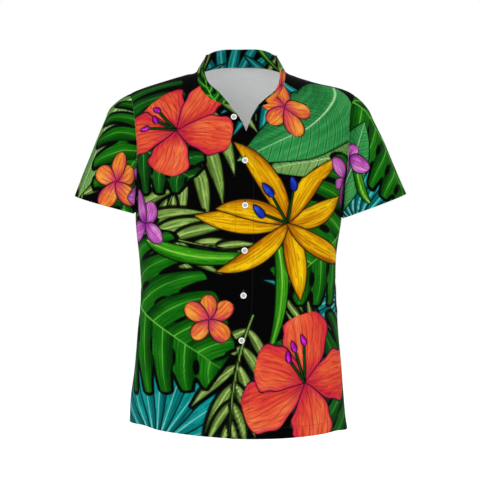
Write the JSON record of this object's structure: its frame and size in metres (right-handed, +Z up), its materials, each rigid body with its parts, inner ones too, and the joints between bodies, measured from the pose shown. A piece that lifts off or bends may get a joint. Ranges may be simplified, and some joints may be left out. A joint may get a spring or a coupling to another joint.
{
  "type": "hawaiian shirt",
  "caption": "Short-sleeved hawaiian shirt with a small stand collar, buttoned front and all-over tropical leaf and flower print, filled out and hollow as worn, with its neck open.",
  "frame": {"origin": "Between the two neck points, at the height of the top of the shoulders, where the wearer's shoulders hold the shirt up.", "axes": "+Z up, from hem to collar. +X towards the wearer's left, which is the viewer's right. -Y towards the front, +Y towards the back."},
  "size_m": [0.65, 0.2637, 0.7541],
  "materials": {
    "printed_cloth": "soft, light plain-weave viscose or cotton with an all-over tropical print on black, matt with a faint sheen",
    "button": "white, polished, with a raised rim"
  },
  "bodies": {
    "root": {"front_left": "printed_cloth", "front_right": "printed_cloth", "back": "printed_cloth", "sleeve_left": "printed_cloth", "sleeve_right": "printed_cloth", "collar": "printed_cloth", "button_1": "button", "button_2": "button", "button_3": "button", "button_4": "button", "button_5": "button", "button_6": "button"}
  },
  "joints": []
}
